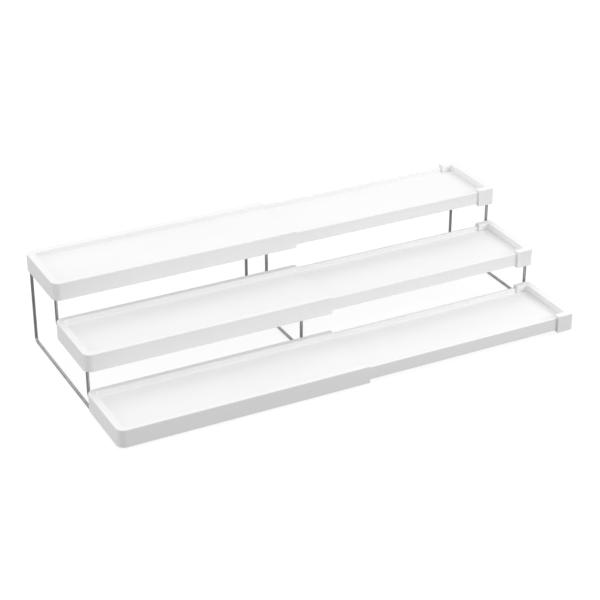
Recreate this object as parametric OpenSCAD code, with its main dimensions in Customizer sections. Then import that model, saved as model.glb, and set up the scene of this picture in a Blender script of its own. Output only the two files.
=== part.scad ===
// Three-tier shelf riser that slides open to nearly twice its closed length.
// +X runs along the shelves to the sliding end, +Y to the back, +Z up.
// The origin is the centre of the footprint, on the surface that the riser stands on.

/* [Trays] */
// Depth of each shelf tray, front to back
tray_depth = 80; // [70:1:100]
// Height of each tray
tray_height = 18; // [17:0.5:24]
// Length of the fixed outer half of a tray
outer_length = 253; // [200:1:320]
// Length of the riser when it is pulled fully open
extended_length = 484; // [440:1:500]
// Length of the cap that closes the sliding end of a tray
cap_length = 18; // [14:1:30]
// Width of the raised rim of the outer half
rim_width = 7; // [6.5:0.1:9]
// Depth of the shelf floor below the rim
well_depth = 4.7; // [3:0.1:6]
// Corner radius at the fixed end
corner_r = 8; // [7.5:0.5:12]
// Corner radius of the end cap
cap_corner_r = 3; // [2:0.5:4]
// Thickness of the skirts
wall = 1.8; // [1.6:0.1:2.2]
// Thickness of the shelf floors
floor_t = 2; // [1.6:0.1:2.4]
// Running gap between the sliding halves
slide_gap = 0.3; // [0.2:0.05:0.4]

/* [Tiers] */
// Distance from one tier back to the next
step_y = 75.5; // [70:0.5:90]
// Rise from one tier up to the next
step_z = 38; // [36:1:60]
// Height of the front tray above the surface
tray_lift = 4; // [3.5:0.5:8]

/* [Wire frames] */
// Wire diameter
wire_d = 3; // [2.5:0.5:3]
// Bend radius of the wire, to its centre line
bend_r = 4.5; // [3.5:0.5:4.5]
// Place of the left frame, in from the fixed end
left_frame_x = 4.2; // [4.1:0.1:4.6]
// Place of the middle frame, in from the open end of the outer half
middle_frame_in = 25; // [22:0.5:26]

/* [Hidden] */
$fn = 48;

FRONT = 0;
MIDDLE = 1;
TOP = 2;
plastic_colour = "white";
wire_colour = "silver";

cut = 1;                      // how far a cutting shape runs past what it cuts
bite = 0.2;                   // how far a shape runs into the one that it joins
fit_gap = 0.1;                // gap round a wire in its clip, and inside an end cap
wire_r = wire_d / 2;
groove_r = wire_r + fit_gap;
notch_w = wire_d + 0.6;
total_depth = 2 * step_y + tray_depth;

// Heights in the outer half, from the bottom edge of its skirt
floor_top = tray_height - well_depth;
floor_under = floor_top - floor_t;
rim_under = tray_height - floor_t;
rim_wall = 1.5;
well_corner_r = 3;
lip_t = 2.1;
lip_reach = 5;

// The inner half nests in the outer one: this is its own section
inner_y = wall + slide_gap;
inner_rim_w = rim_width - rim_wall - slide_gap - inner_y;
inner_rim_top = rim_under - slide_gap;
inner_floor_top = floor_under - slide_gap;
inner_floor_under = inner_floor_top - floor_t;
inner_bottom = lip_t + slide_gap;
inner_wall = 1.6;
overlap = 31;
inner_x = outer_length - overlap;
rib_w = 1.6;
rib_drop = 1.8;
rib_bays = 6;

// The stop: a flange under the inner half catches a strap across the outer half
flange_t = 2.2;
flange_bottom = 3;
flange_inset = lip_reach + 0.5;
strap_x = inner_x + flange_t + slide_gap;
strap_w = 12;
strap_top = 5;

// End cap
cap_x = extended_length - cap_length;
cap_end_wall = 1.4;
cap_wall_stop = 1.6;          // how far short of the back face the end wall stops, beside the wire
cap_pocket_x = extended_length - cap_end_wall;
cap_rim_under = inner_rim_top + fit_gap;
inner_length = cap_pocket_x - 2 * fit_gap - inner_x;
right_frame_x = cap_pocket_x - groove_r;

// Wire frames: y from the front face of the front tray, z from the surface
bar_z = wire_r;
middle_frame_x = outer_length - middle_frame_in;
end_front_y = 8.1;
end_riser_back = 3.6;         // how far a riser stands behind the tray below it
end_back_y = total_depth - 3.7;
outer_tread = floor_under - groove_r;
cap_tread = inner_floor_under - groove_r;
middle_tread = 0.5;
middle_riser_back = 12.5;
middle_front_y = 10;
middle_back_y = total_depth - 16;
tread_start = tray_depth + middle_riser_back - step_y;
weld_r = wire_r + 0.7;
weld_tip_r = wire_r + 0.2;
weld_h = wire_r + 1;

// Clips that hold the end frames, and the saddle on the middle frame's floor bar
clip_w = 6;
clip_places = [0.25, 0.5, 0.75];
clip_mouth = wire_d - 0.4;    // narrower than the wire, so that it snaps in
clip_arm = 2.6;
clip_drop = 2.1;
hook_depth = 5.5;
hook_drop = 2.4;
saddle_w = 6.8;
saddle_inset = middle_front_y + 2;
saddle_depth = tray_depth - 2 * middle_front_y;

// ---- placing ----

module from_corner() {
    translate([-extended_length / 2, -total_depth / 2, 0]) children();
}

module on_tier(tier) {
    from_corner() translate([0, tier * step_y, tray_lift + tier * step_z]) children();
}

// ---- trays ----

// Footprint pulled in by inset, with both corners at x = inset rounded
module footprint(length, inset, r, open) {
    x0 = inset;
    x1 = length + open;
    d = tray_depth - 2 * inset;
    translate([x0 + r, inset]) square([x1 - x0 - r, d]);
    translate([x0, inset + r]) square([r, d - 2 * r]);
    for (y = [inset + r, tray_depth - inset - r]) {
        translate([x0 + r, y]) circle(r);
    }
}

module tray_block(z0, z1, inset, r, open) {
    translate([0, 0, z0]) linear_extrude(z1 - z0) footprint(outer_length, inset, r, open);
}

// A lip along both long skirts, pointing inward
module lips(x0, x1, y0, z0, z1) {
    for (side = [0, 1]) {
        translate([0, side * tray_depth, 0]) mirror([0, side, 0])
            translate([x0, y0, z0]) cube([x1 - x0, lip_reach - y0, z1 - z0]);
    }
}

// Cutter for a wire along Y from y0 to y1, at height z
module wire_groove(x, z, y0 = -cut, y1 = tray_depth + cut) {
    translate([x, y0, z]) rotate([-90, 0, 0]) cylinder(h = y1 - y0, r = groove_r);
}

// Snap clip for the left frame: the wire pushes up through a narrower mouth
module left_clip(y) {
    x0 = wall - bite;
    x1 = left_frame_x + wire_r + clip_arm;
    difference() {
        translate([x0, y - clip_w / 2, outer_tread - clip_drop])
            cube([x1 - x0, clip_w, floor_under - outer_tread + clip_drop + bite]);
        wire_groove(left_frame_x, outer_tread);
        translate([left_frame_x - clip_mouth / 2, 0, 0]) cube([clip_mouth, tray_depth, outer_tread]);
    }
}

// Hook for the right frame, which the end wall of the cap closes
module right_clip(y) {
    difference() {
        translate([right_frame_x - hook_depth, y - clip_w / 2, cap_tread - hook_drop])
            cube([hook_depth, clip_w, inner_floor_under - cap_tread + hook_drop + bite]);
        wire_groove(right_frame_x, cap_tread);
    }
}

module outer_tray(tier) {
    saddle = tier == FRONT ? tray_lift - bar_z : 0;
    seat = tier == FRONT ? bar_z - tray_lift : middle_tread;
    difference() {
        union() {
            difference() {
                tray_block(0, tray_height, 0, corner_r, 0);
                tray_block(floor_top, tray_height + cut, rim_width, well_corner_r, cut);
                tray_block(-cut, floor_under, wall, corner_r - wall, cut);
                difference() {
                    tray_block(floor_under - cut, rim_under, wall, corner_r - wall, cut);
                    tray_block(floor_under - 2 * cut, tray_height, rim_width - rim_wall,
                        well_corner_r, 2 * cut);
                }
            }
            lips(corner_r, outer_length, wall - bite, 0, lip_t);
            translate([strap_x, lip_reach - bite, 0])
                cube([strap_w, tray_depth - 2 * (lip_reach - bite), strap_top]);
            if (saddle > 0) {
                translate([middle_frame_x - saddle_w / 2, saddle_inset, -saddle])
                    cube([saddle_w, saddle_depth, saddle + lip_t / 2]);
            }
            for (part = clip_places) left_clip(part * tray_depth);
        }
        wire_groove(middle_frame_x, seat, tier == FRONT ? -cut : tread_start - groove_r,
            tier == TOP ? middle_back_y - TOP * step_y + groove_r : tray_depth + cut);
        translate([left_frame_x - notch_w / 2, tray_depth - lip_reach - cut, -cut])
            cube([notch_w, lip_reach + cut - (tier == TOP ? wall : -cut), floor_under + cut]);
    }
}

module inner_section() {
    square_t = inner_rim_top - inner_floor_under;
    inner_depth = tray_depth - 2 * inner_y;
    translate([inner_y, inner_floor_under]) square([inner_depth, floor_t]);
    for (side = [0, 1]) {
        translate([side * tray_depth, 0]) mirror([side, 0]) {
            translate([inner_y, inner_floor_under]) square([inner_rim_w, square_t]);
            translate([inner_y, inner_bottom]) square([inner_wall, inner_floor_top - inner_bottom]);
        }
    }
}

module inner_ribs() {
    span = cap_x - inner_x;
    rib_z = inner_floor_under - rib_drop;
    y0 = inner_y + inner_wall - bite;
    for (bay = [1 : rib_bays]) {
        translate([inner_x + bay * span / rib_bays - rib_w, y0, rib_z])
            cube([rib_w, tray_depth - 2 * y0, rib_drop + bite]);
    }
    for (part = [1 / 3, 2 / 3]) {
        translate([inner_x, part * tray_depth - rib_w / 2, rib_z])
            cube([span, rib_w, rib_drop + bite]);
    }
}

module inner_tray(tier) {
    difference() {
        union() {
            translate([inner_x, 0, 0]) rotate([90, 0, 90]) linear_extrude(inner_length) inner_section();
            inner_ribs();
            translate([inner_x, flange_inset, flange_bottom])
                cube([flange_t, tray_depth - 2 * flange_inset, inner_floor_under - flange_bottom + bite]);
            for (part = clip_places) right_clip(part * tray_depth);
        }
        translate([right_frame_x - notch_w / 2, tray_depth - lip_reach - cut, -cut])
            cube([notch_w + cut, lip_reach + 2 * cut, inner_floor_under + cut]);
    }
}

module end_cap(tier) {
    slot_w = inner_y + inner_rim_w + fit_gap;
    pocket_y = inner_y - fit_gap;
    reach = cap_pocket_x - cap_x;
    difference() {
        translate([cap_x, 0, 0]) linear_extrude(tray_height) {
            square([cap_length - cap_corner_r, tray_depth]);
            translate([0, cap_corner_r]) square([cap_length, tray_depth - 2 * cap_corner_r]);
            for (y = [cap_corner_r, tray_depth - cap_corner_r]) {
                translate([cap_length - cap_corner_r, y]) circle(cap_corner_r);
            }
        }
        // well over the shelf floor
        translate([extended_length, 0, inner_floor_top]) mirror([1, 0, 0]) linear_extrude(tray_height)
            footprint(cap_length, rim_width, well_corner_r, cut);
        // room for the inner half
        translate([cap_x - cut, pocket_y, inner_bottom - fit_gap])
            cube([reach + cut, tray_depth - 2 * pocket_y, inner_floor_top - inner_bottom + 2 * fit_gap]);
        for (side = [0, 1]) {
            translate([0, side * tray_depth, 0]) mirror([0, side, 0])
                translate([cap_x - cut, pocket_y, inner_floor_top])
                    cube([reach + cut, slot_w - pocket_y, cap_rim_under - inner_floor_top]);
        }
        // hollow under the rim of the end
        translate([extended_length - rim_width + rim_wall, slot_w - cut, inner_floor_top])
            cube([rim_width - rim_wall - cap_end_wall, tray_depth - 2 * slot_w + 2 * cut,
                rim_under - inner_floor_top]);
        // open underside
        translate([cap_x - cut, lip_reach, -cut])
            cube([reach + cut, tray_depth - 2 * lip_reach, inner_bottom + cut]);
        // way out for the wire
        translate([right_frame_x - notch_w / 2, tray_depth - lip_reach - cut, -cut])
            cube([notch_w / 2 + groove_r, lip_reach + cut - (tier == TOP ? pocket_y : -cut),
                inner_floor_under + cut]);
        if (tier != TOP) {
            translate([right_frame_x, tray_depth - cap_wall_stop, -cut])
                cube([cap_length, cap_wall_stop + cut, inner_floor_under + cut]);
        }
    }
}

// ---- wire frames, drawn in a plane: u is y, v is z ----

function unit(v) = v / norm(v);
function heading(v) = atan2(v[1], v[0]);

module stand_up(x) {
    from_corner() translate([x, 0, 0]) rotate([90, 0, 90]) children();
}

module wire_run(a, b) {
    translate([a[0], a[1], 0]) rotate([0, 90, heading(b - a)]) cylinder(h = norm(b - a), r = wire_r);
}

module wire_bend(before, corner, after) {
    d1 = unit(corner - before);
    d2 = unit(after - corner);
    centre = corner + bend_r * (d2 - d1);
    left_turn = d1[0] * d2[1] - d1[1] * d2[0] > 0;
    translate([centre[0], centre[1], 0]) rotate([0, 0, left_turn ? heading(-d2) : heading(d1)])
        rotate_extrude(angle = 90) translate([bend_r, 0]) circle(wire_r);
}

// A wire through the points, with every right-angled corner bent round
module bent_wire(p, closed) {
    n = len(p);
    runs = closed ? n : n - 1;
    for (i = [0 : runs - 1]) {
        a = p[i];
        b = p[(i + 1) % n];
        d = unit(b - a);
        from = closed || i > 0 ? bend_r : 0;
        to = closed || i < runs - 1 ? bend_r : 0;
        wire_run(a + from * d, b - to * d);
    }
    for (i = [closed ? 0 : 1 : closed ? n - 1 : n - 2]) {
        wire_bend(p[(i + n - 1) % n], p[i], p[(i + 1) % n]);
    }
}

// Height of a tread above the surface
function tread_z(tier, seat) = tray_lift + tier * step_z + seat;

// Y of the riser that stands behind a tier
function riser_y(tier, gap) = tier * step_y + tray_depth + gap;

module end_frame(x, seat) {
    stand_up(x) bent_wire([
        [end_front_y, bar_z],
        [end_front_y, tread_z(FRONT, seat)],
        [riser_y(FRONT, end_riser_back), tread_z(FRONT, seat)],
        [riser_y(FRONT, end_riser_back), tread_z(MIDDLE, seat)],
        [riser_y(MIDDLE, end_riser_back), tread_z(MIDDLE, seat)],
        [riser_y(MIDDLE, end_riser_back), tread_z(TOP, seat)],
        [end_back_y, tread_z(TOP, seat)],
        [end_back_y, bar_z]
    ], true);
}

module middle_frame() {
    foot = [riser_y(FRONT, middle_riser_back), bar_z + wire_r / 3];
    stand_up(middle_frame_x) {
        bent_wire([
            [middle_front_y, bar_z],
            [middle_back_y, bar_z],
            [middle_back_y, tread_z(TOP, middle_tread)],
            [riser_y(MIDDLE, middle_riser_back), tread_z(TOP, middle_tread)],
            [riser_y(MIDDLE, middle_riser_back), tread_z(MIDDLE, middle_tread)],
            [foot[0], tread_z(MIDDLE, middle_tread)],
            foot
        ], false);
        translate(foot) rotate([-90, 0, 0]) cylinder(h = weld_h, r1 = weld_r, r2 = weld_tip_r);
    }
}

// ---- one module for each sub-part ----

module outer_tray_top() { color(plastic_colour) on_tier(TOP) outer_tray(TOP); }
module outer_tray_middle() { color(plastic_colour) on_tier(MIDDLE) outer_tray(MIDDLE); }
module outer_tray_front() { color(plastic_colour) on_tier(FRONT) outer_tray(FRONT); }
module inner_tray_top() { color(plastic_colour) on_tier(TOP) inner_tray(TOP); }
module inner_tray_middle() { color(plastic_colour) on_tier(MIDDLE) inner_tray(MIDDLE); }
module inner_tray_front() { color(plastic_colour) on_tier(FRONT) inner_tray(FRONT); }
module end_cap_top() { color(plastic_colour) on_tier(TOP) end_cap(TOP); }
module end_cap_middle() { color(plastic_colour) on_tier(MIDDLE) end_cap(MIDDLE); }
module end_cap_front() { color(plastic_colour) on_tier(FRONT) end_cap(FRONT); }
module left_wire_frame() { color(wire_colour) end_frame(left_frame_x, outer_tread); }
module middle_wire_frame() { color(wire_colour) middle_frame(); }
module right_wire_frame() { color(wire_colour) end_frame(right_frame_x, cap_tread); }

outer_tray_top();
outer_tray_middle();
outer_tray_front();
inner_tray_top();
inner_tray_middle();
inner_tray_front();
end_cap_top();
end_cap_middle();
end_cap_front();
left_wire_frame();
middle_wire_frame();
right_wire_frame();
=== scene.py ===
"""Looks of the tiered shelf riser: moulded white trays and end caps on bent, plated steel wire."""
import math

import bmesh
import bpy
from mathutils import Matrix, Vector


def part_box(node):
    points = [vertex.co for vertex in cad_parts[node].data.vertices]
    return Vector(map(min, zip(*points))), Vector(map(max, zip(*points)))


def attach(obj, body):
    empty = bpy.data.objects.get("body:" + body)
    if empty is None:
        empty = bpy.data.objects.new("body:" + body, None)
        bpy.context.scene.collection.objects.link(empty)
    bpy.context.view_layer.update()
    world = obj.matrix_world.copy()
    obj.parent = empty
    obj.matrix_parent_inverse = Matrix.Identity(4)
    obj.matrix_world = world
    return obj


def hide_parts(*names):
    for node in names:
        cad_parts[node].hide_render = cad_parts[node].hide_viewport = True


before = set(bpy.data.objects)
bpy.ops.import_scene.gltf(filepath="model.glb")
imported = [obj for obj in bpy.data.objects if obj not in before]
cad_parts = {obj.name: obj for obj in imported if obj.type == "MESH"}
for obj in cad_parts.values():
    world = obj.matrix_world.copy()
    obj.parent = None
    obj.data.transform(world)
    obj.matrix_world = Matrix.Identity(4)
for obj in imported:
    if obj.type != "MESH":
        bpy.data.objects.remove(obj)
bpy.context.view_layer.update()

MM = 0.001
FIXED, SLIDING = "fixed_half", "sliding_half"
TIERS = ("front", "middle", "top")

# ---- section of the mouldings, in millimetres, as the CAD trays have it ----
TRAY_H = 18.0
FLOOR_TOP = 13.3
FLOOR_UNDER = 11.3
RIM_UNDER = 16.0
RIM_W = 7.0
RIM_WALL = 1.5
WALL = 1.8
CORNER_R = 8.0
WELL_R = 3.0
LIP_T = 2.1
LIP_REACH = 5.0
INNER_Y = 2.1
INNER_RIM_W = 3.1
INNER_TOP = 15.7
INNER_FLOOR = 11.0
INNER_UNDER = 9.0
INNER_BOTTOM = 2.4
INNER_WALL = 1.6
CAP_R = 3.0
CAP_END_WALL = 1.4
CAP_WALL_STOP = 1.6
CAP_SIDE_WALL = 2.0
SKIRT_LEAST_R = 1.0
CAP_RIM_UNDER = 15.8
FIT_GAP = 0.1
WIRE_R = 1.5
GROOVE_R = 1.6
NOTCH_W = 3.6
BEND_R = 4.5
EDGE = 0.7                    # the five edge radii of the mouldings, this one along the rims
OUTER_EDGE = 0.9
FOOT_EDGE = 0.5
INSIDE_EDGE = 0.4
SMALL_EDGE = 0.3
FLOOR_STRIP = 3               # strip of floor that is swept with the rim, round the one wide face
BITE = 0.4                    # how far a shape runs into the one that it joins
SHY = 0.01                    # how far a joined shape stays inside a flush end face
CUT = 1                       # how far a cutting shape runs past what it cuts
CUT_FURTHER = 1.5             # the same where two cutting shapes overlap

# ---------------------------------------------------------------- outlines


def rounded(points, steps=4):
    """Closed outline of (u, v, radius) corners, each radius drawn as an arc of short chords."""
    out = []
    n = len(points)
    for i, (u, v, r) in enumerate(points):
        here = Vector((u, v))
        if r <= 0:
            out.append(here)
            continue
        before = (Vector(points[i - 1][:2]) - here).normalized()
        after = (Vector(points[(i + 1) % n][:2]) - here).normalized()
        half = before.angle(after) / 2
        reach = r / math.tan(half)
        centre = here + (before + after).normalized() * (r / math.sin(half))
        start = here + before * reach - centre
        end = here + after * reach - centre
        sweep = math.atan2(start.x * end.y - start.y * end.x, start.dot(end))
        for k in range(steps + 1):
            a = sweep * k / steps
            turned = Vector((
                start.x * math.cos(a) - start.y * math.sin(a),
                start.x * math.sin(a) + start.y * math.cos(a),
            ))
            out.append(centre + turned)
    return out


def u_path(side, end, corner_r, least_r, x_open, x_end, depth, steps=12):
    """Plan line along the front, round both corners at x_end and back, set in by side and end."""
    s = 1 if x_open > x_end else -1
    r = max(corner_r - side, least_r)
    cx = x_end + s * (end + r)
    path = [(x_open, side)]
    for k in range(steps + 1):
        t = math.pi / 2 * k / steps
        path.append((cx - s * r * math.sin(t), side + r - r * math.cos(t)))
    for k in range(steps, -1, -1):
        t = math.pi / 2 * k / steps
        path.append((cx - s * r * math.sin(t), depth - side - r + r * math.cos(t)))
    path.append((x_open, depth - side))
    return path


# ---------------------------------------------------------------- mesh building


class Place:
    """Millimetres in a tray, from its fixed front bottom corner, to metres in the frame."""

    def __init__(self, tier):
        low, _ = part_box("outer_tray_" + tier)
        _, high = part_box("end_cap_" + tier)
        self.x = low.x
        self.y = low.y
        self.z = high.z - TRAY_H * MM
        self.depth = (high.y - low.y) / MM

    def __call__(self, x, y, z):
        return Vector((self.x + x * MM, self.y + y * MM, self.z + z * MM))


def strip(bm, rows, closed):
    """Quads between neighbouring rows of vertices."""
    n = len(rows)
    for i in range(n if closed else n - 1):
        a, b = rows[i], rows[(i + 1) % n]
        for j in range(len(a) - 1):
            bm.faces.new((a[j], a[j + 1], b[j + 1], b[j]))


def tube(bm, rings, closed):
    """Quads round and between neighbouring rings of vertices, with flat ends unless closed."""
    n = len(rings)
    sides = len(rings[0])
    for i in range(n if closed else n - 1):
        a, b = rings[i], rings[(i + 1) % n]
        for k in range(sides):
            m = (k + 1) % sides
            bm.faces.new((a[k], a[m], b[m], b[k]))
    if not closed:
        bm.faces.new(rings[0])
        bm.faces.new(rings[-1])


def box_mm(bm, at, low, high, edge=SMALL_EDGE):
    """A closed block with softened edges, from low to high in a tray's millimetres."""
    made = bmesh.ops.create_cube(bm, size=1.0)["verts"]
    a, b = at(*low), at(*high)
    size, mid = b - a, (a + b) / 2
    for v in made:
        v.co = Vector((v.co.x * size.x, v.co.y * size.y, v.co.z * size.z)) + mid
    if edge > 0:
        edges = {e for v in made for e in v.link_edges}
        bmesh.ops.bevel(bm, geom=list(edges), offset=edge * MM, segments=2, profile=0.5,
                        affect="EDGES", clamp_overlap=True)


def rod_mm(bm, at, start, end, radius, sides=32):
    """A closed round rod between two points of a tray."""
    a, b = at(*start), at(*end)
    turn = (b - a).to_track_quat("Z", "Y").to_matrix().to_4x4()
    bmesh.ops.create_cone(bm, cap_ends=True, segments=sides, radius1=radius * MM,
                          radius2=radius * MM, depth=(b - a).length,
                          matrix=Matrix.Translation((a + b) / 2) @ turn)


def mesh_object(name, bm):
    bmesh.ops.recalc_face_normals(bm, faces=bm.faces[:])
    mesh = bpy.data.meshes.new(name)
    bm.to_mesh(mesh)
    bm.free()
    obj = bpy.data.objects.new(name, mesh)
    bpy.context.scene.collection.objects.link(obj)
    return obj


def combine(obj, other_bm, operation):
    """Joins or cuts obj with the solids in other_bm, and keeps the result as its mesh."""
    other = mesh_object(obj.name + "_tool", other_bm)
    modifier = obj.modifiers.new("combine", "BOOLEAN")
    modifier.operation = operation
    modifier.object = other
    modifier.solver = "EXACT"
    modifier.use_self = True
    shown = bpy.context.evaluated_depsgraph_get()
    mesh = bpy.data.meshes.new_from_object(obj.evaluated_get(shown))
    old = obj.data
    obj.modifiers.clear()
    obj.data = mesh
    bpy.data.meshes.remove(old)
    bpy.data.objects.remove(other)


TRAY_SHARP = 34               # degrees between faces, above which an edge is drawn sharp
WIRE_SHARP = 60


def finish_piece(obj, body, material, nodes, sharp=TRAY_SHARP):
    """Smooth shading between true edges, then the piece's finish, body and CAD nodes."""
    mesh = obj.data
    mesh.polygons.foreach_set("use_smooth", [True] * len(mesh.polygons))
    mesh.set_sharp_from_angle(angle=math.radians(sharp))
    weighted = obj.modifiers.new("even_shading", "WEIGHTED_NORMAL")
    weighted.keep_sharp = True
    weighted.weight = 100
    mesh.materials.clear()
    mesh.materials.append(material)
    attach(obj, body)
    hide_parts(*nodes)


# ---------------------------------------------------------------- materials

NOISE_SPAN = (0.3, 0.7)       # where most of a noise texture's values lie


def node_material(name):
    material = bpy.data.materials.new(name)
    material.use_nodes = True
    tree = material.node_tree
    shader = tree.nodes["Principled BSDF"]
    place = tree.nodes.new("ShaderNodeTexCoord")
    return material, tree, shader, place.outputs["Object"]


def noise(tree, where, scale, detail, stretch=(1, 1, 1)):
    mapping = tree.nodes.new("ShaderNodeMapping")
    mapping.inputs["Scale"].default_value = stretch
    tree.links.new(where, mapping.inputs["Vector"])
    texture = tree.nodes.new("ShaderNodeTexNoise")
    texture.inputs["Scale"].default_value = scale
    texture.inputs["Detail"].default_value = detail
    tree.links.new(mapping.outputs["Vector"], texture.inputs["Vector"])
    return texture.outputs["Fac"]


def ranged(tree, source, before, after, curve="LINEAR"):
    """source, moved from its range before to the range after."""
    made = tree.nodes.new("ShaderNodeMapRange")
    made.interpolation_type = curve
    for name, value in zip(("From Min", "From Max", "To Min", "To Max"), (*before, *after)):
        made.inputs[name].default_value = value
    tree.links.new(source, made.inputs["Value"])
    return made.outputs["Result"]


def colour_between(tree, source, dark, light):
    ramp = tree.nodes.new("ShaderNodeValToRGB")
    ramp.color_ramp.elements[0].position = NOISE_SPAN[0]
    ramp.color_ramp.elements[1].position = NOISE_SPAN[1]
    ramp.color_ramp.elements[0].color = (*dark, 1)
    ramp.color_ramp.elements[1].color = (*light, 1)
    tree.links.new(source, ramp.inputs["Fac"])
    return ramp.outputs["Color"]


def bump(tree, height, distance, strength, normal=None):
    made = tree.nodes.new("ShaderNodeBump")
    made.inputs["Distance"].default_value = distance
    made.inputs["Strength"].default_value = strength
    tree.links.new(height, made.inputs["Height"])
    if normal is not None:
        tree.links.new(normal, made.inputs["Normal"])
    return made.outputs["Normal"]


def white_plastic(name, dark, light):
    """Moulded polypropylene: faint flow clouding, soft satin gloss and a fine spark-eroded grain."""
    material, tree, shader, where = node_material(name)
    clouds = noise(tree, where, 22, 3, (0.35, 1, 1))
    tree.links.new(colour_between(tree, clouds, dark, light), shader.inputs["Base Color"])
    patches = noise(tree, where, 60, 4)
    tree.links.new(ranged(tree, patches, NOISE_SPAN, (0.40, 0.50)), shader.inputs["Roughness"])
    grain = noise(tree, where, 2600, 2)
    waves = noise(tree, where, 35, 1)
    soft = bump(tree, waves, 0.0004, 0.10)
    tree.links.new(bump(tree, grain, 0.00003, 0.35, soft), shader.inputs["Normal"])
    shader.inputs["IOR"].default_value = 1.49
    shader.inputs["Specular IOR Level"].default_value = 0.35
    return material


def plated_wire():
    """Drawn steel wire with a thin plated skin: fine die lines and slightly duller patches."""
    material, tree, shader, where = node_material("plated_wire")
    patches = noise(tree, where, 90, 3)
    tree.links.new(
        colour_between(tree, patches, (0.40, 0.40, 0.41), (0.50, 0.50, 0.51)),
        shader.inputs["Base Color"])
    tree.links.new(ranged(tree, patches, NOISE_SPAN, (0.26, 0.38)), shader.inputs["Roughness"])
    lines = noise(tree, where, 5200, 2, (1, 0.06, 0.06))
    tree.links.new(bump(tree, lines, 0.00002, 0.4), shader.inputs["Normal"])
    shader.inputs["Metallic"].default_value = 1.0
    return material


def weld_metal():
    """Weld bead under the plating: rippled, with darker hollows."""
    material, tree, shader, where = node_material("weld_metal")
    ripples = noise(tree, where, 1400, 3)
    tree.links.new(
        colour_between(tree, ripples, (0.20, 0.20, 0.21), (0.38, 0.38, 0.39)),
        shader.inputs["Base Color"])
    tree.links.new(ranged(tree, ripples, NOISE_SPAN, (0.35, 0.55)), shader.inputs["Roughness"])
    tree.links.new(bump(tree, ripples, 0.0002, 0.5), shader.inputs["Normal"])
    shader.inputs["Metallic"].default_value = 1.0
    return material


WHITES = ((0.845, 0.847, 0.847), (0.865, 0.867, 0.867))
TRAY_WHITE = white_plastic("tray_white", *WHITES)
CAP_WHITE = white_plastic("cap_white", *WHITES)
WIRE = plated_wire()
WELD = weld_metal()

# ---------------------------------------------------------------- measures from the frame

OUTER_LOW, OUTER_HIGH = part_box("outer_tray_front")
INNER_LOW, INNER_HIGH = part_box("inner_tray_front")
CAP_LOW, CAP_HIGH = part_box("end_cap_front")
OUTER_LEN = (OUTER_HIGH.x - OUTER_LOW.x) / MM
INNER_X0 = (INNER_LOW.x - OUTER_LOW.x) / MM
INNER_X1 = (INNER_HIGH.x - OUTER_LOW.x) / MM
CAP_X0 = (CAP_LOW.x - OUTER_LOW.x) / MM
CAP_X1 = (CAP_HIGH.x - OUTER_LOW.x) / MM


def frame_x(node):
    """Centre line of a wire frame, in millimetres from the fixed end."""
    low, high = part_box(node)
    return ((low.x + high.x) / 2 - OUTER_LOW.x) / MM


LEFT_X = frame_x("left_wire_frame")
MIDDLE_X = frame_x("middle_wire_frame")
RIGHT_X = frame_x("right_wire_frame")
TREAD_LEFT = FLOOR_UNDER - GROOVE_R
TREAD_RIGHT = INNER_UNDER - GROOVE_R
TREAD_MIDDLE = 0.5
END_RISER_BACK = 3.6
MIDDLE_RISER_BACK = 12.5
CLIP_PARTS = (0.25, 0.5, 0.75)
CLIP_W = 6.0
CLIP_ARM = 2.6
CLIP_DROP = 2.1
CLIP_MOUTH = 2.6
HOOK_DEPTH = 5.5
HOOK_DROP = 2.4
SADDLE_W = 6.8
SADDLE_INSET = 12.0
SADDLE_BACK = 8.0
STRAP_X0 = INNER_X0 + 2.5
STRAP_W = 12.0
STRAP_TOP = 5.0
FLANGE_T = 2.2
FLANGE_BOTTOM = 3.0
FLANGE_INSET = LIP_REACH + 0.5
RIB_W = 1.6
RIB_DROP = 1.8
RIB_BAYS = 6
LONG_RIBS = (1 / 3, 2 / 3)
PIN_R = 2.5                   # ejector pins of the moulds, and the dent that each leaves
PIN_DENT = 0.15
OUTER_PIN_X = (40, 100, 160, 215)
OUTER_PIN_PARTS = (0.2, 0.8)
INNER_PIN_PARTS = (1 / 6, 5 / 6)
GATE_R = 1.6
GATE_STUB = 0.6
GATE_BAY = 2.5                # bays between the sliding half's open end and its gate
LIFT_ABOVE_BAR = 2.5          # axis of the middle floor bar below the front tray's lips
FOOT_GAP = 0.5                # end of the middle frame's welded riser above that axis
WELD_SIDES = 40
WELD_RINGS = 8
WELD_LIFT = 0.2
RIPPLES = 7
RIPPLE_DEPTH = 0.15

# ---------------------------------------------------------------- outer trays


def outer_shell(at):
    """Rim, skirt and floor of the fixed half as one closed shell with rounded edges."""
    floor_start = RIM_W + FLOOR_STRIP
    section = rounded([
        (floor_start, FLOOR_TOP, 0), (RIM_W, FLOOR_TOP, EDGE), (RIM_W, TRAY_H, EDGE),
        (0, TRAY_H, OUTER_EDGE), (0, 0, FOOT_EDGE), (WALL, 0, SMALL_EDGE), (WALL, RIM_UNDER, FOOT_EDGE),
        (RIM_W - RIM_WALL, RIM_UNDER, FOOT_EDGE), (RIM_W - RIM_WALL, FLOOR_UNDER, INSIDE_EDGE),
        (floor_start, FLOOR_UNDER, 0),
    ])
    bm = bmesh.new()
    rows = []
    for p in section:
        path = u_path(p.x, p.x, CORNER_R, WELL_R, OUTER_LEN, 0, at.depth)
        rows.append([bm.verts.new(at(x, y, p.y)) for x, y in path])
    strip(bm, rows, False)
    bm.faces.new(rows[0])
    bm.faces.new(rows[-1])
    bm.faces.new([r[0] for r in rows] + [r[-1] for r in reversed(rows)])
    return bm


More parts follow.
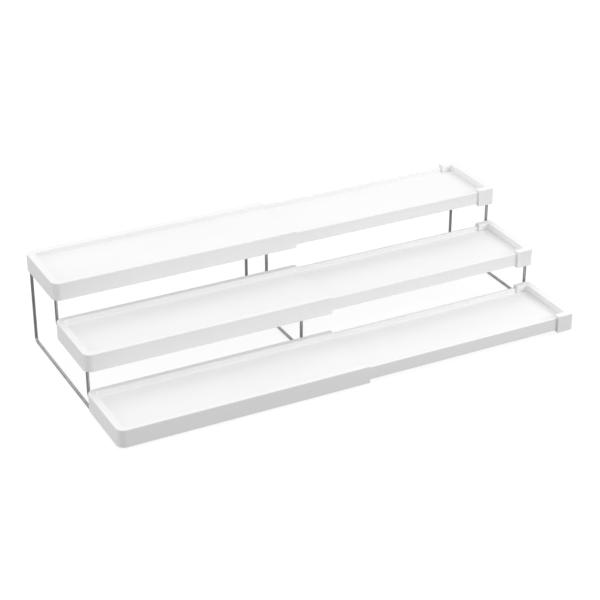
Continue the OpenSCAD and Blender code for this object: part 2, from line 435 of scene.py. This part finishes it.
def outer_additions(at, tier):
    bm = bmesh.new()
    d = at.depth
    end = OUTER_LEN - SHY
    strap_y = LIP_REACH - BITE
    box_mm(bm, at, (CORNER_R, WALL - BITE, 0), (end, LIP_REACH, LIP_T))
    box_mm(bm, at, (CORNER_R, d - LIP_REACH, 0), (end, d - WALL + BITE, LIP_T))
    box_mm(bm, at, (STRAP_X0, strap_y, 0), (STRAP_X0 + STRAP_W, d - strap_y, STRAP_TOP), FOOT_EDGE)
    if tier == "front":
        box_mm(bm, at, (MIDDLE_X - SADDLE_W / 2, SADDLE_INSET, -LIFT_ABOVE_BAR),
               (MIDDLE_X + SADDLE_W / 2, d - SADDLE_BACK, LIP_T / 2))
    for part in CLIP_PARTS:
        box_mm(bm, at, (WALL - BITE, part * d - CLIP_W / 2, TREAD_LEFT - CLIP_DROP),
               (LEFT_X + WIRE_R + CLIP_ARM, part * d + CLIP_W / 2, FLOOR_UNDER + BITE))
    return bm


def tread_start(tier):
    """Where the middle wire comes up under a tray, from the tray's front."""
    below = TIERS[TIERS.index(tier) - 1]
    overhang = (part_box("outer_tray_" + below)[1].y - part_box("outer_tray_" + tier)[0].y) / MM
    return overhang + MIDDLE_RISER_BACK


def tread_end():
    """Where the middle wire goes down behind, from the front of the top tray."""
    return (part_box("middle_wire_frame")[1].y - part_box("outer_tray_top")[0].y) / MM - WIRE_R


def outer_cuts(at, tier):
    bm = bmesh.new()
    d = at.depth
    seat = -LIFT_ABOVE_BAR if tier == "front" else TREAD_MIDDLE
    y0 = -CUT if tier == "front" else tread_start(tier) - GROOVE_R
    y1 = tread_end() + GROOVE_R if tier == "top" else d + CUT
    rod_mm(bm, at, (MIDDLE_X, y0, seat), (MIDDLE_X, y1, seat), GROOVE_R)
    way_out = WALL if tier == "top" else -CUT
    box_mm(bm, at, (LEFT_X - NOTCH_W / 2, d - LIP_REACH - CUT, -CUT),
           (LEFT_X + NOTCH_W / 2, d - way_out, FLOOR_UNDER), 0)
    for part in CLIP_PARTS:
        y0 = part * d - CLIP_W / 2 - CUT
        y1 = part * d + CLIP_W / 2 + CUT
        rod_mm(bm, at, (LEFT_X, y0, TREAD_LEFT), (LEFT_X, y1, TREAD_LEFT), GROOVE_R)
        box_mm(bm, at, (LEFT_X - CLIP_MOUTH / 2, y0, TREAD_LEFT - 2 * CLIP_DROP),
               (LEFT_X + CLIP_MOUTH / 2, y1, TREAD_LEFT), 0)
    return bm


def ejector_marks(bm, at, spots, z):
    """Shallow round dents that the mould's pins leave under a floor."""
    for x, y in spots:
        rod_mm(bm, at, (x, y, z - CUT), (x, y, z + PIN_DENT), PIN_R)


def outer_tray(tier):
    at = Place(tier)
    obj = mesh_object("tray_fixed_" + tier, outer_shell(at))
    combine(obj, outer_additions(at, tier), "UNION")
    combine(obj, outer_cuts(at, tier), "DIFFERENCE")
    marks = bmesh.new()
    spots = [(x, part * at.depth) for x in OUTER_PIN_X for part in OUTER_PIN_PARTS]
    ejector_marks(marks, at, spots, FLOOR_UNDER)
    combine(obj, marks, "DIFFERENCE")
    finish_piece(obj, FIXED, TRAY_WHITE, ["outer_tray_" + tier])


# ---------------------------------------------------------------- inner trays


def inner_section(at):
    """Outline of the sliding half across its length: two rims, two skirts and the floor."""
    side = [
        (INNER_Y + INNER_RIM_W, INNER_FLOOR, FOOT_EDGE), (INNER_Y + INNER_RIM_W, INNER_TOP, EDGE),
        (INNER_Y, INNER_TOP, EDGE), (INNER_Y, INNER_BOTTOM, SMALL_EDGE),
        (INNER_Y + INNER_WALL, INNER_BOTTOM, SMALL_EDGE),
        (INNER_Y + INNER_WALL, INNER_UNDER, FOOT_EDGE),
    ]
    other = [(at.depth - y, z, r) for y, z, r in reversed(side)]
    return rounded(side + other)


def inner_shell(at):
    bm = bmesh.new()
    section = inner_section(at)
    rows = [[bm.verts.new(at(x, p.x, p.y)) for x in (INNER_X0, INNER_X1)] for p in section]
    strip(bm, rows, True)
    for end in (0, 1):
        bm.faces.new([r[end] for r in rows])
    return bm


def inner_additions(at):
    bm = bmesh.new()
    d = at.depth
    span = CAP_X0 - INNER_X0
    y0 = INNER_Y + INNER_WALL - BITE
    top = INNER_UNDER + BITE
    for bay in range(1, RIB_BAYS + 1):
        x = INNER_X0 + bay * span / RIB_BAYS
        box_mm(bm, at, (x - RIB_W, y0, INNER_UNDER - RIB_DROP), (x, d - y0, top))
    for part in LONG_RIBS:
        box_mm(bm, at, (INNER_X0 + BITE, part * d - RIB_W / 2, INNER_UNDER - RIB_DROP),
               (INNER_X0 + span, part * d + RIB_W / 2, top))
    box_mm(bm, at, (INNER_X0, FLANGE_INSET, FLANGE_BOTTOM),
           (INNER_X0 + FLANGE_T, d - FLANGE_INSET, top), INSIDE_EDGE)
    for part in CLIP_PARTS:
        box_mm(bm, at, (RIGHT_X - HOOK_DEPTH, part * d - CLIP_W / 2, TREAD_RIGHT - HOOK_DROP),
               (RIGHT_X, part * d + CLIP_W / 2, top))
    gate_x = INNER_X0 + GATE_BAY * span / RIB_BAYS
    rod_mm(bm, at, (gate_x, d / 2, INNER_UNDER - GATE_STUB), (gate_x, d / 2, top), GATE_R)
    return bm


def inner_cuts(at):
    bm = bmesh.new()
    d = at.depth
    reach = CLIP_W / 2 + CUT
    for part in CLIP_PARTS:
        rod_mm(bm, at, (RIGHT_X, part * d - reach, TREAD_RIGHT),
               (RIGHT_X, part * d + reach, TREAD_RIGHT), GROOVE_R)
    box_mm(bm, at, (RIGHT_X - NOTCH_W / 2, d - LIP_REACH - CUT, -CUT),
           (RIGHT_X + NOTCH_W, d + CUT, INNER_UNDER), 0)
    bay = (CAP_X0 - INNER_X0) / RIB_BAYS
    spots = [(INNER_X0 + (i + 0.5) * bay, part * d) for i in range(RIB_BAYS) for part in INNER_PIN_PARTS]
    ejector_marks(bm, at, spots, INNER_UNDER)
    return bm


def inner_tray(tier):
    at = Place(tier)
    obj = mesh_object("tray_sliding_" + tier, inner_shell(at))
    combine(obj, inner_additions(at), "UNION")
    combine(obj, inner_cuts(at), "DIFFERENCE")
    finish_piece(obj, SLIDING, TRAY_WHITE, ["inner_tray_" + tier])


# ---------------------------------------------------------------- end caps


def cap_shell(at):
    """Rim, skirt and inner wall of the cap, swept round its end."""
    slot = INNER_Y + INNER_RIM_W + FIT_GAP
    rim_in = RIM_W - RIM_WALL
    inside = CAP_SIDE_WALL
    low = INNER_FLOOR + FIT_GAP
    corners = [
        (RIM_W, RIM_W, low, 0), (RIM_W, RIM_W, TRAY_H, EDGE), (0, 0, TRAY_H, EDGE),
        (0, 0, 0, FOOT_EDGE),
        (inside, CAP_END_WALL, 0, SMALL_EDGE), (inside, CAP_END_WALL, CAP_RIM_UNDER, SMALL_EDGE),
        (slot, rim_in, CAP_RIM_UNDER, SMALL_EDGE), (slot, rim_in, low, 0),
    ]
    sides = rounded([(side, z, r) for side, _, z, r in corners])
    ends = rounded([(end, z, r) for _, end, z, r in corners])
    bm = bmesh.new()
    rows = []
    for side, end in zip(sides, ends):
        least_r = WELL_R if side.x > slot - FIT_GAP else SKIRT_LEAST_R
        path = u_path(side.x, end.x, CAP_R, least_r, CAP_X0, CAP_X1, at.depth, steps=8)
        rows.append([bm.verts.new(at(x, y, side.y)) for x, y in path])
    strip(bm, rows, True)
    for end in (0, -1):
        bm.faces.new([r[end] for r in rows])
    return bm


def cap_additions(at):
    bm = bmesh.new()
    d = at.depth
    x0 = CAP_X0 + SHY
    x1 = CAP_X1 - CAP_END_WALL + BITE
    top = INNER_BOTTOM - FIT_GAP
    box_mm(bm, at, (x0, CAP_SIDE_WALL - BITE, 0), (x1, LIP_REACH, top))
    box_mm(bm, at, (x0, d - LIP_REACH, 0), (x1, d - CAP_SIDE_WALL + BITE, top))
    return bm


def cap_cuts(at, tier):
    bm = bmesh.new()
    d = at.depth
    way_out = CAP_SIDE_WALL if tier == "top" else -CUT
    box_mm(bm, at, (RIGHT_X - NOTCH_W / 2, d - LIP_REACH - CUT, -CUT),
           (RIGHT_X + GROOVE_R, d - way_out, INNER_UNDER), 0)
    if tier != "top":
        box_mm(bm, at, (RIGHT_X, d - CAP_WALL_STOP, -CUT_FURTHER),
               (CAP_X1 + CUT, d + CUT_FURTHER, INNER_UNDER), 0)
    return bm


def end_cap(tier):
    at = Place(tier)
    obj = mesh_object("cap_" + tier, cap_shell(at))
    combine(obj, cap_additions(at), "UNION")
    combine(obj, cap_cuts(at, tier), "DIFFERENCE")
    finish_piece(obj, SLIDING, CAP_WHITE, ["end_cap_" + tier])


# ---------------------------------------------------------------- wire frames


def bent_path(points, closed, steps=10):
    """Centre line through right-angled corners, each bent round, with the wire's own direction."""
    n = len(points)
    line = []
    for i, p in enumerate(points):
        here = Vector(p)
        if not closed and i in (0, n - 1):
            other = Vector(points[1] if i == 0 else points[n - 2])
            way = (other - here) if i == 0 else (here - other)
            line.append((here, way.normalized()))
            continue
        d1 = (here - Vector(points[i - 1])).normalized()
        d2 = (Vector(points[(i + 1) % n]) - here).normalized()
        centre = here + (d2 - d1) * BEND_R
        for k in range(steps + 1):
            t = math.pi / 2 * k / steps
            at = centre - d2 * BEND_R * math.cos(t) + d1 * BEND_R * math.sin(t)
            line.append((at, d1 * math.cos(t) + d2 * math.sin(t)))
    return line


def wire_mesh(bm, x, points, closed, sides=24):
    """A round wire in the plane at x, through (y, z) points measured from the frame's corner."""
    rings = []
    for p, way in bent_path(points, closed):
        out = Vector((-way.y, way.x))
        ring = []
        for k in range(sides):
            a = 2 * math.pi * k / sides
            off = p + out * WIRE_R * math.cos(a)
            ring.append(bm.verts.new(corner_point(x + WIRE_R * math.sin(a), off.x, off.y)))
        rings.append(ring)
    tube(bm, rings, closed)


def corner_point(x, y, z):
    """Millimetres from the fixed front corner on the surface, in metres in the frame."""
    return Vector((OUTER_LOW.x + x * MM, OUTER_LOW.y + y * MM, z * MM))


def tier_z(tier):
    return Place(tier).z / MM


def tier_back(tier):
    return (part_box("outer_tray_" + tier)[1].y - OUTER_LOW.y) / MM


def end_points(node, seat):
    """Stair of the closed frames at both ends."""
    low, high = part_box(node)
    front = (low.y - OUTER_LOW.y) / MM + WIRE_R
    back = (high.y - OUTER_LOW.y) / MM - WIRE_R
    risers = {t: tier_back(t) + END_RISER_BACK for t in ("front", "middle")}
    treads = {t: tier_z(t) + seat for t in TIERS}
    return [
        (front, WIRE_R), (front, treads["front"]), (risers["front"], treads["front"]),
        (risers["front"], treads["middle"]), (risers["middle"], treads["middle"]),
        (risers["middle"], treads["top"]), (back, treads["top"]), (back, WIRE_R),
    ]


def middle_points():
    """Stair of the middle frame, from its front end to its welded foot."""
    low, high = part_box("middle_wire_frame")
    front = (low.y - OUTER_LOW.y) / MM
    back = (high.y - OUTER_LOW.y) / MM - WIRE_R
    risers = {t: tier_back(t) + MIDDLE_RISER_BACK for t in ("front", "middle")}
    treads = {t: tier_z(t) + TREAD_MIDDLE for t in TIERS}
    return [
        (front, WIRE_R), (back, WIRE_R), (back, treads["top"]), (risers["middle"], treads["top"]),
        (risers["middle"], treads["middle"]), (risers["front"], treads["middle"]),
        (risers["front"], WIRE_R + FOOT_GAP),
    ]


def end_frame(name, node, body, seat):
    bm = bmesh.new()
    wire_mesh(bm, frame_x(node), end_points(node, seat), True)
    finish_piece(mesh_object(name, bm), body, WIRE, [node], sharp=WIRE_SHARP)


def middle_frame():
    bm = bmesh.new()
    wire_mesh(bm, MIDDLE_X, middle_points(), False)
    obj = mesh_object("wire_middle", bm)
    finish_piece(obj, FIXED, WIRE, ["middle_wire_frame"], sharp=WIRE_SHARP)


def weld_bead(name, body, centre, axis, radius, swell, length):
    """A small rippled ring of weld round axis, thickest halfway along."""
    bm = bmesh.new()
    rings = []
    turn = Vector(axis).to_track_quat("Z", "Y")
    for i in range(WELD_RINGS + 1):
        t = i / WELD_RINGS
        ring = []
        for k in range(WELD_SIDES):
            a = 2 * math.pi * k / WELD_SIDES
            r = radius + swell * math.sin(math.pi * t) * (1 + RIPPLE_DEPTH * math.sin(RIPPLES * a))
            p = Vector(centre) + turn @ Vector((r * math.cos(a), r * math.sin(a), (t - 0.5) * length))
            ring.append(bm.verts.new(corner_point(*p)))
        rings.append(ring)
    tube(bm, rings, False)
    obj = mesh_object(name, bm)
    obj.data.polygons.foreach_set("use_smooth", [True] * len(obj.data.polygons))
    obj.data.materials.append(WELD)
    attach(obj, body)


def welds():
    foot = (MIDDLE_X, tier_back("front") + MIDDLE_RISER_BACK, 2 * WIRE_R + WELD_LIFT)
    weld_bead("weld_middle_foot", FIXED, foot, (0, 0, 1), radius=WIRE_R, swell=0.55, length=2.0)
    for name, body, x in (("weld_left_loop", FIXED, LEFT_X), ("weld_right_loop", SLIDING, RIGHT_X)):
        joint = (x, tier_back("front") / 2, WIRE_R + WELD_LIFT)
        weld_bead(name, body, joint, (0, 1, 0), radius=WIRE_R - 0.25, swell=0.38, length=3.0)


# ---------------------------------------------------------------- camera, floor and light

CAMERA_PLACE = (-0.6868, -1.3216, 0.818)
CAMERA_YAW = 27.34            # degrees, from straight ahead towards the sliding end
CAMERA_PITCH = 27.55          # degrees, downwards
CAMERA_LENS = 102.85
SENSOR_WIDTH = 36
FLOOR_SIZE = 6
BACKDROP_RADIUS = 5.8
DOME_ABOVE = 0.85
DOME_BELOW = 0.42
DOME_HORIZON = (-0.15, 0.15)  # heights between which the dome goes from one to the other
DOME_DIM_WAY = (-0.3, -0.95, -0.1)
DOME_SHADE = 0.72
DOME_FADE = (0.1, 1.0)        # from unshaded to shaded, as the way turns to DOME_DIM_WAY


def camera():
    """Long lens from the front left, looking down on the shelves."""
    yaw = math.radians(CAMERA_YAW)
    pitch = math.radians(CAMERA_PITCH)
    data = bpy.data.cameras.new("camera")
    data.sensor_width = SENSOR_WIDTH
    data.lens = CAMERA_LENS
    data.clip_start = 0.05
    data.clip_end = 50
    obj = bpy.data.objects.new("camera", data)
    obj.location = CAMERA_PLACE
    look = Vector((math.sin(yaw) * math.cos(pitch), math.cos(yaw) * math.cos(pitch), -math.sin(pitch)))
    obj.rotation_euler = look.to_track_quat("-Z", "Y").to_euler()
    bpy.context.scene.collection.objects.link(obj)
    bpy.context.scene.camera = obj


def glowing_white(name, base, strength):
    """Matt white that is lit from within; base is how much it also takes from the lights."""
    material, _, shader, _ = node_material(name)
    shader.inputs["Base Color"].default_value = (base, base, base, 1)
    shader.inputs["Roughness"].default_value = 0.9
    shader.inputs["Specular IOR Level"].default_value = 0.0
    shader.inputs["Emission Color"].default_value = (1, 1, 1, 1)
    shader.inputs["Emission Strength"].default_value = strength
    return material


def stage_piece(obj, material):
    """Part of the studio, which neither lights the shelves nor shows in the wire."""
    obj.data.materials.append(material)
    obj.visible_diffuse = False
    obj.visible_glossy = False


def floor():
    """A plain white surface, lit from within like a light table, so that it stays pale."""
    bm = bmesh.new()
    bmesh.ops.create_grid(bm, x_segments=2, y_segments=2, size=FLOOR_SIZE)
    stage_piece(mesh_object("floor", bm), glowing_white("floor_white", 0.18, 0.88))


def backdrop():
    """A white dome far round the floor, for the camera alone: it casts no light and no shadow."""
    bm = bmesh.new()
    bmesh.ops.create_uvsphere(bm, u_segments=48, v_segments=24, radius=BACKDROP_RADIUS)
    obj = mesh_object("backdrop", bm)
    obj.visible_transmission = False
    obj.visible_shadow = False
    stage_piece(obj, glowing_white("backdrop_white", 0, 1.0))


def area_light(name, place, target, size, power):
    data = bpy.data.lights.new(name, "AREA")
    data.shape = "RECTANGLE"
    data.size, data.size_y = size
    data.energy = power
    obj = bpy.data.objects.new(name, data)
    obj.location = place
    obj.rotation_euler = (Vector(target) - Vector(place)).to_track_quat("-Z", "Y").to_euler()
    bpy.context.scene.collection.objects.link(obj)


def dot_with(tree, where, direction):
    made = tree.nodes.new("ShaderNodeVectorMath")
    made.operation = "DOT_PRODUCT"
    tree.links.new(where, made.inputs[0])
    made.inputs[1].default_value = Vector(direction).normalized()
    return made.outputs["Value"]


def studio_dome():
    """Soft light from all round: bright above, dimmer below and towards the front left."""
    world = bpy.data.worlds.new("studio")
    world.use_nodes = True
    tree = world.node_tree
    where = tree.nodes.new("ShaderNodeTexCoord").outputs["Generated"]
    up = dot_with(tree, where, (0, 0, 1))
    front = dot_with(tree, where, DOME_DIM_WAY)
    height = ranged(tree, up, DOME_HORIZON, (DOME_BELOW, DOME_ABOVE), "SMOOTHSTEP")
    shade = ranged(tree, front, DOME_FADE, (1.0, DOME_SHADE), "SMOOTHSTEP")
    product = tree.nodes.new("ShaderNodeMath")
    product.operation = "MULTIPLY"
    tree.links.new(height, product.inputs[0])
    tree.links.new(shade, product.inputs[1])
    tree.links.new(product.outputs["Value"], tree.nodes["Background"].inputs["Strength"])
    tree.nodes["Background"].inputs["Color"].default_value = (1, 1, 1, 1)
    bpy.context.scene.world = world


def lights():
    studio_dome()
    area_light("top_light", (0.2, 0.4, 2.2), (0, 0, 0.05), (2.4, 2.4), 8)
    area_light("left_light", (-2.2, 0.15, 0.6), (-0.2, 0, 0.05), (1.6, 1.2), 10)
    area_light("back_light", (-0.1, 1.9, 0.8), (0, 0, 0.05), (1.4, 0.8), 1.5)
    area_light("right_light", (1.2, -1.1, 0.9), (0.15, 0, 0.05), (0.9, 0.7), 12)
    bpy.context.scene.view_settings.view_transform = "Standard"
    bpy.context.scene.view_settings.look = "None"


# ---------------------------------------------------------------- make everything

camera()
floor()
backdrop()
lights()
for tier in TIERS:
    outer_tray(tier)
    inner_tray(tier)
    end_cap(tier)
end_frame("wire_left", "left_wire_frame", FIXED, TREAD_LEFT)
end_frame("wire_right", "right_wire_frame", SLIDING, TREAD_RIGHT)
middle_frame()
welds()
